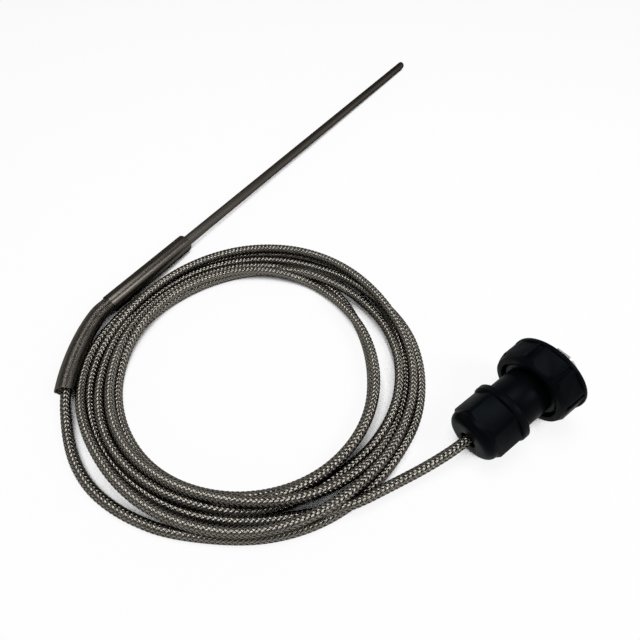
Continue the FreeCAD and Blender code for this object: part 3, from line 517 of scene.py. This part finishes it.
def braidTree():
    flow, given = newTree("braidStrands", [
        ("Samples", "Int"), ("Carriers", "Int"), ("Lay", "Float"), ("Hand", "Float"), ("Radius", "Float"),
        ("Wave", "Float"), ("Width", "Float"), ("Bulge", "Float"), ("Material", "Material")])
    hand, lay, carriers = given.output("Hand"), given.output("Lay"), given.output("Carriers")
    half = given.output("Width") * 0.5
    spots = {name: flow.node("ShaderNodeCombineXYZ", None, {"X": x, "Y": y}) for name, x, y in (
        ("Start", 0.0, -1 * half), ("Middle", given.output("Bulge"), 0.0), ("End", 0.0, half))}
    profile = flow.node("GeometryNodeCurveArc", {"mode": "POINTS"}, {"Resolution": 3, **spots})  # two edges
    profile = store(flow, profile, "across", flow.node("GeometryNodeSplineParameter", None, None, "Factor"))

    def turnAngle(s, i):
        return hand * s * fullTurn / lay + i * fullTurn / carriers

    def lift(s, i):
        # neighbours are half a wave apart, and each hand is shifted an eighth of a wave its own way
        phase = s * (fullTurn * braid["wavesPerTurn"]) / lay + hand * (i * math.pi + math.pi / 4)
        return given.output("Radius") + hand * given.output("Wave") * flow.maths("COSINE", phase)

    mesh = wound(flow, given.output("Geometry"), given.output("Samples"), carriers, turnAngle, lift, profile)
    return closeTree(flow, mesh, given.output("Material"))


def grown(name, source, tree, values):
    # runs a tree on a source object and keeps its result as a plain mesh
    modifier = source.modifiers.new(name, "NODES")
    modifier.node_group = tree
    for item in tree.interface.items_tree:
        if item.in_out == "INPUT" and item.name in values:
            modifier[item.identifier] = values[item.name]
    mesh = meshOf(source)
    mesh.name = name
    return placed(name, mesh)


braidFinish = newFinish("braidedSteel", braidedWire)
strandTree = braidTree()
for name, hand in (("braidRight", 1.0), ("braidLeft", -1.0)):
    piece = grown(name, routeCurve(name + "Route", routePoints, cable["steps"]), strandTree, {
        "Samples": round(cableLength / braid["lay"] * braid["samplesPerTurn"]), "Carriers": braid["carriers"],
        "Lay": braid["lay"], "Hand": hand, "Radius": braid["radius"], "Wave": braid["wave"],
        "Width": braid["width"], "Bulge": braid["bulge"], "Material": braidFinish})
    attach(piece, "sensor")
    print(name, len(piece.data.polygons), "faces")

core.data.materials.append(newFinish("cableCoreDark", darkCore))
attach(core, "sensor")
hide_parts("cable_lead_in", "cable_coil", "cable_lead_out")

# Spring behind the sleeve: one close-wound wire on the CAD spring's own line, whose points are in mm
spring = {"line": [(-180.5, 0.0, 5.685), (-188.5, 0.0, 5.740), (-195.5, 0.0, 5.788), (-212.03, -6.68, 5.902),
                   (-230.38, -18.21, 6.028), (-238.39, -25.50, 6.084)], "steps": 12,
          "wire": 0.60 * mm, "radius": 4.45 * mm, "turns": 92, "samplesPerTurn": 18, "sides": 8}


def windingTree():
    flow, given = newTree("woundWire", [("Samples", "Int"), ("Pitch", "Float"), ("Radius", "Float"),
                                        ("Wire", "Float"), ("Sides", "Int"), ("Material", "Material")])
    profile = flow.node("GeometryNodeCurvePrimitiveCircle", {"mode": "RADIUS"}, {
        "Resolution": given.output("Sides"), "Radius": given.output("Wire") * 0.5})
    mesh = wound(flow, given.output("Geometry"), given.output("Samples"), 1,
                 lambda s, i: s * fullTurn / given.output("Pitch"),
                 lambda s, i: given.output("Radius"), profile)
    return closeTree(flow, mesh, given.output("Material"))


wireTree = windingTree()
springFinish = newFinish("coiledSpringWire", workedSteel(springSteel))
springLength = lengthOf(spring["line"], spring["steps"])
springPiece = grown("springWire", routeCurve("springRoute", spring["line"], spring["steps"]), wireTree, {
    "Samples": spring["turns"] * spring["samplesPerTurn"], "Pitch": springLength / spring["turns"],
    "Radius": spring["radius"], "Wire": spring["wire"], "Sides": spring["sides"], "Material": springFinish})
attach(springPiece, "sensor")
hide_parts("strain_relief_spring")
print("spring:", round(springLength / mm, 1), "mm,", len(springPiece.data.polygons), "faces")

# Plug mouldings: the CAD shapes with their sharp edges softened
mouldings = {
    "gland_nut": {"name": "glandNut", "body": "sensor", "slot": "plug_plastic", "soft": 0.30 * mm},
    "connector_body": {"name": "plugBody", "body": "sensor", "slot": "plug_plastic", "soft": 0.25 * mm},
    "coupling_ring": {"name": "couplingRing", "body": "coupling", "slot": "ring_plastic", "soft": 0.30 * mm},
    "contact_insert": {"name": "contactInsert", "body": "sensor", "slot": "insert_plastic", "soft": 0.15 * mm},
}
# faces that meet at less than flat are joined, edges over sharp are rounded, those over creased shade hard
edgeWork = {"merge": 0.002 * mm, "flat": math.radians(0.6), "sharp": math.radians(28), "segments": 2,
            "profile": 0.5, "creased": math.radians(35)}
black = (0.0011, 0.0013, 0.0019)
mouldFinish = {
    "plug_plastic": newFinish("plugMoulding", satinMoulding(black, 0.34)),
    "ring_plastic": newFinish("ringMoulding", satinMoulding(black, 0.36)),
    "insert_plastic": newFinish("insertMoulding", satinMoulding((0.020, 0.020, 0.022), 0.42)),
}


def softened(node, name, width):
    # a copy of a CAD node's mesh with rounded edges; the node itself isn't touched
    mesh = nodes[node].data.copy()
    mesh.name = name
    work = bmesh.new()
    work.from_mesh(mesh)
    bmesh.ops.remove_doubles(work, verts=work.verts, dist=edgeWork["merge"])
    bmesh.ops.dissolve_limit(work, angle_limit=edgeWork["flat"], verts=work.verts, edges=work.edges)
    sharp = [edge for edge in work.edges if edge.is_manifold and edge.calc_face_angle(0) > edgeWork["sharp"]]
    bmesh.ops.bevel(work, geom=sharp, offset=width, offset_type="OFFSET", segments=edgeWork["segments"],
                    profile=edgeWork["profile"], affect="EDGES", clamp_overlap=True)
    for face in work.faces:
        face.smooth = True
    work.to_mesh(mesh)
    work.free()
    mesh.set_sharp_from_angle(angle=edgeWork["creased"])
    return placed(name, mesh)


for node, part in mouldings.items():
    piece = softened(node, part["name"], part["soft"])
    piece.data.materials.clear()
    piece.data.materials.append(mouldFinish[part["slot"]])
    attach(piece, part["body"])
    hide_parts(node)
    print(part["name"], len(piece.data.polygons), "faces")

# Thread in the coupling ring's bore: one ridge wound on the plug's axis, half sunk in the wall
thread = {"nose": (-157.17, -203.96, 12.0443), "axis": (0.9188063, -0.3610015, 0.1596026),
          "span": (48.7, 50.7, 52.7),  # mm from the nose along the axis
          "steps": 24, "radius": 16.75 * mm, "ridge": 1.1 * mm, "pitch": 2.0 * mm, "samples": 160, "sides": 8}
threadLine = [tuple(n + a * s for n, a in zip(thread["nose"], thread["axis"])) for s in thread["span"]]
threadPiece = grown("ringThread", routeCurve("threadRoute", threadLine, thread["steps"]), wireTree, {
    "Samples": thread["samples"], "Pitch": thread["pitch"], "Radius": thread["radius"], "Wire": thread["ridge"],
    "Sides": thread["sides"], "Material": mouldFinish["ring_plastic"]})
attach(threadPiece, "coupling")
print("thread:", len(threadPiece.data.polygons), "faces")

# Every CAD node has a finish by its slot, and the sheath and the sleeve have their own
slotFinish = {
    **mouldFinish,
    "braid": braidFinish,
    "spring_wire": springFinish,
    "element_ceramic": newFinish("elementCeramic", matt((0.80, 0.79, 0.73), (0.90, 0.89, 0.84), 900, 0.45)),
    "insulator_ceramic": newFinish("insulatorCeramic", matt((0.84, 0.81, 0.74), (0.93, 0.91, 0.86), 700, 0.5)),
    "lead_wire": newFinish("leadWire", plated((0.55, 0.54, 0.51), (0.78, 0.77, 0.74), 0.2)),
    "splice_metal": newFinish("spliceTin", plated((0.60, 0.54, 0.40), (0.78, 0.72, 0.56), 0.3)),
    "core_insulation": newFinish("coreInsulation", matt((0.70, 0.68, 0.63), (0.82, 0.80, 0.76), 1200, 0.5)),
    "screen_copper": newFinish("screenCopper", plated((0.58, 0.34, 0.23), (0.80, 0.52, 0.38), 0.25)),
    "resin": newFinish("castResin", matt((0.06, 0.05, 0.045), (0.14, 0.12, 0.11), 400, 0.22, 0.05 * mm)),
    "seal_silicone": newFinish("siliconeSeal", matt((0.45, 0.18, 0.12), (0.58, 0.27, 0.20), 800, 0.5)),
    "cage_plastic": newFinish("cageMoulding", satinMoulding((0.045, 0.045, 0.05), 0.4)),
    "seal_rubber": newFinish("blackRubber", matt((0.012, 0.012, 0.012), (0.03, 0.03, 0.03), 1500, 0.6, 0.04 * mm)),
    # the snap ring's steel is made near black: painted shade for the dark gap round it
    "snap_ring_steel": newFinish("snapRingPaintedShade", plated((0.003, 0.003, 0.003), (0.008, 0.008, 0.0075), 0.45)),
    "contact_metal": newFinish("contactPlating", plated((0.50, 0.48, 0.43), (0.72, 0.70, 0.64), 0.22)),
}
ownFinish = {"sheath": newFinish("drawnSheath", workedSteel(sheathSteel)),
             "transition_sleeve": newFinish("turnedSleeve", workedSteel(sleeveSteel))}
nodeSlot = {row["node"]: row["material_slot"] for row in frame["record"]["subparts"]}
for name, node in nodes.items():
    for slot in node.material_slots:
        slot.material = ownFinish.get(name) or slotFinish[nodeSlot[name]]
print("finishes on", len(nodes), "nodes")
